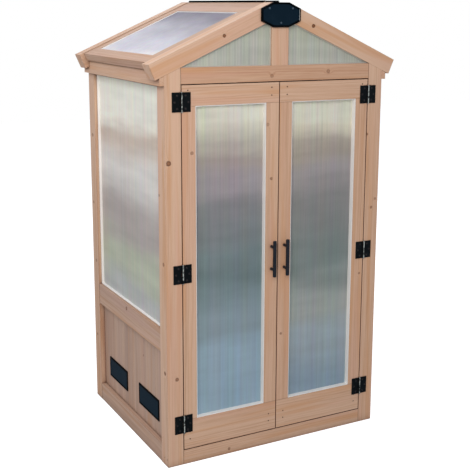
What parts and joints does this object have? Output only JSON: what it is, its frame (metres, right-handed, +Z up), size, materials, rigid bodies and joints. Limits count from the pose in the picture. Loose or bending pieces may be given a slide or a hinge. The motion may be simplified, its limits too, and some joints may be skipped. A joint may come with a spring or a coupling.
{
  "type": "mini greenhouse",
  "caption": "Tall timber mini greenhouse with gabled roof, glazed double doors, translucent walls, boarded base with vents, lifting roof panels and slatted shelves.",
  "frame": {"origin": "on the ground, at the middle of the space the greenhouse takes, handles included", "axes": "+X to the right seen from the front, the doors face -Y, +Z up"},
  "size_m": [0.898, 0.714, 1.4914],
  "materials": {
    "fir": "planed, untreated, satin",
    "shelf_fir": "planed, untreated, satin",
    "twin_wall": "translucent, ribbed inside",
    "edging": "satin",
    "black_steel": "satin powder coat",
    "black_plastic": "satin",
    "bright_steel": "bright zinc"
  },
  "bodies": {
    "frame": {"front_left_post": "fir", "front_right_post": "fir", "rear_left_post": "fir", "rear_right_post": "fir", "front_header": "fir", "front_sill": "fir", "left_side_rails": "fir", "right_side_rails": "fir", "rear_rails": "fir", "eave_battens": "fir", "front_rafters": "fir", "rear_rafters": "fir", "king_posts": "fir", "ridge_board": "fir", "left_side_boards": "fir", "right_side_boards": "fir", "rear_boards": "fir", "upper_shelf": "shelf_fir", "middle_shelf": "shelf_fir", "lower_shelf": "shelf_fir", "shelf_cleats": "shelf_fir", "gable_panes": "twin_wall", "wall_panes": "twin_wall", "fixed_pane_edging": "edging", "gable_plate": "black_steel", "post_hinge_leaves": "black_steel", "ridge_hinge_leaves": "black_steel", "ridge_strip": "black_steel", "frame_fasteners": "black_steel", "vent_frames": "black_plastic", "door_catches": "black_plastic", "hinge_pins": "bright_steel"},
    "left_door": {"left_door_rails": "fir", "left_door_stiles": "fir", "left_door_pane": "twin_wall", "left_door_pane_edging": "edging", "left_door_hinge_leaves": "black_steel", "left_door_handle": "black_steel", "left_door_fasteners": "black_steel", "left_door_strike": "bright_steel"},
    "right_door": {"right_door_rails": "fir", "right_door_stiles": "fir", "right_door_pane": "twin_wall", "right_door_pane_edging": "edging", "right_door_hinge_leaves": "black_steel", "right_door_handle": "black_steel", "right_door_fasteners": "black_steel", "right_door_strike": "bright_steel"},
    "left_roof": {"left_roof_frame": "fir", "left_roof_pane": "twin_wall", "left_roof_pane_edging": "edging", "left_roof_hinge_leaf": "black_steel"},
    "right_roof": {"right_roof_frame": "fir", "right_roof_pane": "twin_wall", "right_roof_pane_edging": "edging", "right_roof_hinge_leaf": "black_steel"},
    "left_front_vent": {"left_front_vent_flap": "black_plastic"},
    "left_rear_vent": {"left_rear_vent_flap": "black_plastic"},
    "right_front_vent": {"right_front_vent_flap": "black_plastic"},
    "right_rear_vent": {"right_rear_vent_flap": "black_plastic"}
  },
  "joints": [
    {"name": "left_door_hinge", "type": "hinge", "parent": "frame", "child": "left_door", "pos_m": [-0.3445, -0.3305, 0.644], "axis": [0, 0, -1], "range_deg": [0, 170]},
    {"name": "right_door_hinge", "type": "hinge", "parent": "frame", "child": "right_door", "pos_m": [0.3445, -0.3305, 0.644], "axis": [0, 0, 1], "range_deg": [0, 170]},
    {"name": "left_roof_hinge", "type": "hinge", "parent": "frame", "child": "left_roof", "pos_m": [-0.024, 0.015, 1.48841], "axis": [0, 1, 0], "range_deg": [0, 60]},
    {"name": "right_roof_hinge", "type": "hinge", "parent": "frame", "child": "right_roof", "pos_m": [0.024, 0.015, 1.48841], "axis": [0, -1, 0], "range_deg": [0, 60]},
    {"name": "left_front_vent_hinge", "type": "hinge", "parent": "frame", "child": "left_front_vent", "pos_m": [-0.3832, -0.128, 0.176], "axis": [0, 1, 0], "range_deg": [0, 80]},
    {"name": "left_rear_vent_hinge", "type": "hinge", "parent": "frame", "child": "left_rear_vent", "pos_m": [-0.3832, 0.158, 0.176], "axis": [0, 1, 0], "range_deg": [0, 80]},
    {"name": "right_front_vent_hinge", "type": "hinge", "parent": "frame", "child": "right_front_vent", "pos_m": [0.3832, -0.128, 0.176], "axis": [0, -1, 0], "range_deg": [0, 80]},
    {"name": "right_rear_vent_hinge", "type": "hinge", "parent": "frame", "child": "right_rear_vent", "pos_m": [0.3832, 0.158, 0.176], "axis": [0, -1, 0], "range_deg": [0, 80]}
  ]
}
